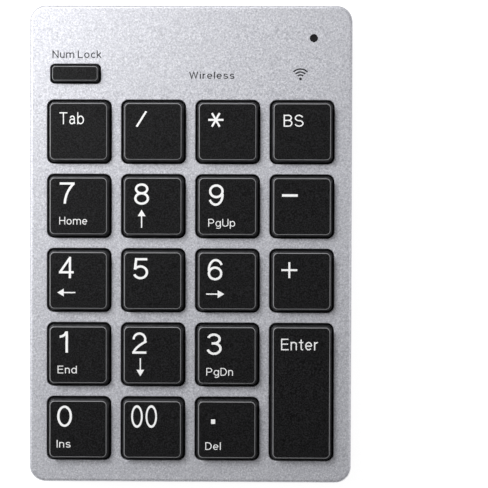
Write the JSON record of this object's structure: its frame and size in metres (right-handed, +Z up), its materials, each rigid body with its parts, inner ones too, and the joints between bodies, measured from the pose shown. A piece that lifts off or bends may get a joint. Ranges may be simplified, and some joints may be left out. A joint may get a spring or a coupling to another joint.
{
  "type": "numeric keypad",
  "caption": "Low wireless numeric keypad: wedge case with a silver deck, black island keycaps, a tall Enter key, a sliding battery door and a USB receiver stowed in the back edge",
  "frame": {"origin": "middle of the case outline, on the surface that the feet stand on", "axes": "+X to the right of the person typing, +Y away from them along the long side, +Z up"},
  "size_m": [0.0826, 0.122, 0.0197],
  "materials": {
    "case_silver": "fine silver metallic paint on moulded ABS, satin",
    "case_black": "black ABS with a fine spark-eroded texture",
    "keycap_black": "black ABS, fine matte texture on the tops, smoother sides",
    "foot_rubber": "dark grey rubber, dull",
    "screw_steel": "zinc-plated steel",
    "dome_rubber": "milky silicone",
    "membrane_film": "clear polyester film",
    "plate_steel": "bare rolled steel sheet",
    "board_green": "green solder mask",
    "chip_black": "moulded epoxy",
    "component_metal": "drawn metal can",
    "component_ceramic": "fired ceramic",
    "lens_smoke": "smoked clear plastic, glossy",
    "led_clear": "clear epoxy",
    "contact_nickel": "nickel-plated spring steel",
    "cell_wrapper": "printed plastic wrapper over a steel can",
    "switch_black": "glass-filled nylon",
    "plug_steel": "nickel-plated steel sheet, lightly brushed",
    "tongue_black": "black connector plastic",
    "contact_gold": "gold-flashed copper alloy"
  },
  "bodies": {
    "root": {"top_cover": "case_silver", "bottom_cover": "case_black", "foot_front_left": "foot_rubber", "foot_front_right": "foot_rubber", "foot_back_left": "foot_rubber", "foot_back_right": "foot_rubber", "case_screws": "screw_steel", "key_frame": "case_black", "membrane_top_sheet": "membrane_film", "membrane_spacer": "membrane_film", "membrane_bottom_sheet": "membrane_film", "backing_plate": "plate_steel", "rubber_domes": "dome_rubber", "controller_board": "board_green", "controller_chip": "chip_black", "clock_crystal": "component_metal", "board_capacitors": "component_ceramic", "membrane_clamp": "case_black", "board_screws": "screw_steel", "status_led": "led_clear", "led_light_guide": "lens_smoke", "power_switch_body": "switch_black", "battery_1": "cell_wrapper", "battery_2": "cell_wrapper", "battery_contact_link": "contact_nickel", "battery_contact_positive": "contact_nickel", "battery_contact_negative": "contact_nickel"},
    "key_tab_cap": {"key_tab": "keycap_black"},
    "key_divide_cap": {"key_divide": "keycap_black"},
    "key_multiply_cap": {"key_multiply": "keycap_black"},
    "key_backspace_cap": {"key_backspace": "keycap_black"},
    "key_7_cap": {"key_7": "keycap_black"},
    "key_8_cap": {"key_8": "keycap_black"},
    "key_9_cap": {"key_9": "keycap_black"},
    "key_minus_cap": {"key_minus": "keycap_black"},
    "key_4_cap": {"key_4": "keycap_black"},
    "key_5_cap": {"key_5": "keycap_black"},
    "key_6_cap": {"key_6": "keycap_black"},
    "key_plus_cap": {"key_plus": "keycap_black"},
    "key_1_cap": {"key_1": "keycap_black"},
    "key_2_cap": {"key_2": "keycap_black"},
    "key_3_cap": {"key_3": "keycap_black"},
    "key_enter_cap": {"key_enter": "keycap_black"},
    "key_0_cap": {"key_0": "keycap_black"},
    "key_00_cap": {"key_00": "keycap_black"},
    "key_decimal_cap": {"key_decimal": "keycap_black"},
    "key_num_lock_cap": {"key_num_lock": "keycap_black"},
    "battery_door_slide": {"battery_door": "case_black"},
    "receiver": {"receiver_housing": "switch_black", "receiver_plug_shell": "plug_steel", "receiver_tongue": "tongue_black", "receiver_contacts": "contact_gold", "receiver_board": "board_green"},
    "power_switch_slider": {"power_switch_knob": "switch_black"},
    "enter_stabiliser": {"enter_stabiliser_wire": "contact_nickel"}
  },
  "joints": [
    {"name": "key_tab_press", "type": "slide", "parent": "root", "child": "key_tab_cap", "axis": [0, 0.0523, -0.9986], "range_m": [0, 0.0022], "stiffness_N_per_m": 240, "springref_m": -0.001, "deforming": ["rubber_domes"]},
    {"name": "key_divide_press", "type": "slide", "parent": "root", "child": "key_divide_cap", "axis": [0, 0.0523, -0.9986], "range_m": [0, 0.0022], "stiffness_N_per_m": 240, "springref_m": -0.001, "deforming": ["rubber_domes"]},
    {"name": "key_multiply_press", "type": "slide", "parent": "root", "child": "key_multiply_cap", "axis": [0, 0.0523, -0.9986], "range_m": [0, 0.0022], "stiffness_N_per_m": 240, "springref_m": -0.001, "deforming": ["rubber_domes"]},
    {"name": "key_backspace_press", "type": "slide", "parent": "root", "child": "key_backspace_cap", "axis": [0, 0.0523, -0.9986], "range_m": [0, 0.0022], "stiffness_N_per_m": 240, "springref_m": -0.001, "deforming": ["rubber_domes"]},
    {"name": "key_7_press", "type": "slide", "parent": "root", "child": "key_7_cap", "axis": [0, 0.0523, -0.9986], "range_m": [0, 0.0022], "stiffness_N_per_m": 240, "springref_m": -0.001, "deforming": ["rubber_domes"]},
    {"name": "key_8_press", "type": "slide", "parent": "root", "child": "key_8_cap", "axis": [0, 0.0523, -0.9986], "range_m": [0, 0.0022], "stiffness_N_per_m": 240, "springref_m": -0.001, "deforming": ["rubber_domes"]},
    {"name": "key_9_press", "type": "slide", "parent": "root", "child": "key_9_cap", "axis": [0, 0.0523, -0.9986], "range_m": [0, 0.0022], "stiffness_N_per_m": 240, "springref_m": -0.001, "deforming": ["rubber_domes"]},
    {"name": "key_minus_press", "type": "slide", "parent": "root", "child": "key_minus_cap", "axis": [0, 0.0523, -0.9986], "range_m": [0, 0.0022], "stiffness_N_per_m": 240, "springref_m": -0.001, "deforming": ["rubber_domes"]},
    {"name": "key_4_press", "type": "slide", "parent": "root", "child": "key_4_cap", "axis": [0, 0.0523, -0.9986], "range_m": [0, 0.0022], "stiffness_N_per_m": 240, "springref_m": -0.001, "deforming": ["rubber_domes"]},
    {"name": "key_5_press", "type": "slide", "parent": "root", "child": "key_5_cap", "axis": [0, 0.0523, -0.9986], "range_m": [0, 0.0022], "stiffness_N_per_m": 240, "springref_m": -0.001, "deforming": ["rubber_domes"]},
    {"name": "key_6_press", "type": "slide", "parent": "root", "child": "key_6_cap", "axis": [0, 0.0523, -0.9986], "range_m": [0, 0.0022], "stiffness_N_per_m": 240, "springref_m": -0.001, "deforming": ["rubber_domes"]},
    {"name": "key_plus_press", "type": "slide", "parent": "root", "child": "key_plus_cap", "axis": [0, 0.0523, -0.9986], "range_m": [0, 0.0022], "stiffness_N_per_m": 240, "springref_m": -0.001, "deforming": ["rubber_domes"]},
    {"name": "key_1_press", "type": "slide", "parent": "root", "child": "key_1_cap", "axis": [0, 0.0523, -0.9986], "range_m": [0, 0.0022], "stiffness_N_per_m": 240, "springref_m": -0.001, "deforming": ["rubber_domes"]},
    {"name": "key_2_press", "type": "slide", "parent": "root", "child": "key_2_cap", "axis": [0, 0.0523, -0.9986], "range_m": [0, 0.0022], "stiffness_N_per_m": 240, "springref_m": -0.001, "deforming": ["rubber_domes"]},
    {"name": "key_3_press", "type": "slide", "parent": "root", "child": "key_3_cap", "axis": [0, 0.0523, -0.9986], "range_m": [0, 0.0022], "stiffness_N_per_m": 240, "springref_m": -0.001, "deforming": ["rubber_domes"]},
    {"name": "key_enter_press", "type": "slide", "parent": "root", "child": "key_enter_cap", "axis": [0, 0.0523, -0.9986], "range_m": [0, 0.0022], "stiffness_N_per_m": 240, "springref_m": -0.001, "deforming": ["rubber_domes"]},
    {"name": "key_0_press", "type": "slide", "parent": "root", "child": "key_0_cap", "axis": [0, 0.0523, -0.9986], "range_m": [0, 0.0022], "stiffness_N_per_m": 240, "springref_m": -0.001, "deforming": ["rubber_domes"]},
    {"name": "key_00_press", "type": "slide", "parent": "root", "child": "key_00_cap", "axis": [0, 0.0523, -0.9986], "range_m": [0, 0.0022], "stiffness_N_per_m": 240, "springref_m": -0.001, "deforming": ["rubber_domes"]},
    {"name": "key_decimal_press", "type": "slide", "parent": "root", "child": "key_decimal_cap", "axis": [0, 0.0523, -0.9986], "range_m": [0, 0.0022], "stiffness_N_per_m": 240, "springref_m": -0.001, "deforming": ["rubber_domes"]},
    {"name": "key_num_lock_press", "type": "slide", "parent": "root", "child": "key_num_lock_cap", "axis": [0, 0.0523, -0.9986], "range_m": [0, 0.001], "stiffness_N_per_m": 400, "springref_m": -0.0007, "deforming": ["rubber_domes"]},
    {"name": "battery_door_open", "type": "slide", "parent": "root", "child": "battery_door_slide", "axis": [0, 1, 0], "range_m": [0, 0.026]},
    {"name": "receiver_pull", "type": "slide", "parent": "root", "child": "receiver", "axis": [0, 1, 0], "range_m": [0, 0.021]},
    {"name": "power_switch_on", "type": "slide", "parent": "root", "child": "power_switch_slider", "axis": [0, 1, 0], "range_m": [0, 0.0025]},
    {"name": "enter_stabiliser_swing", "type": "hinge", "parent": "root", "child": "enter_stabiliser", "pos_m": [0.0311, -0.03763, 0.01093], "axis": [0, 0.9986, 0.0523], "range_deg": [-15.52, 0]}
  ],
  "couplings": [
    {"joint": "enter_stabiliser_swing", "follows": "key_enter_press", "rad_per_m": -120.74}
  ]
}
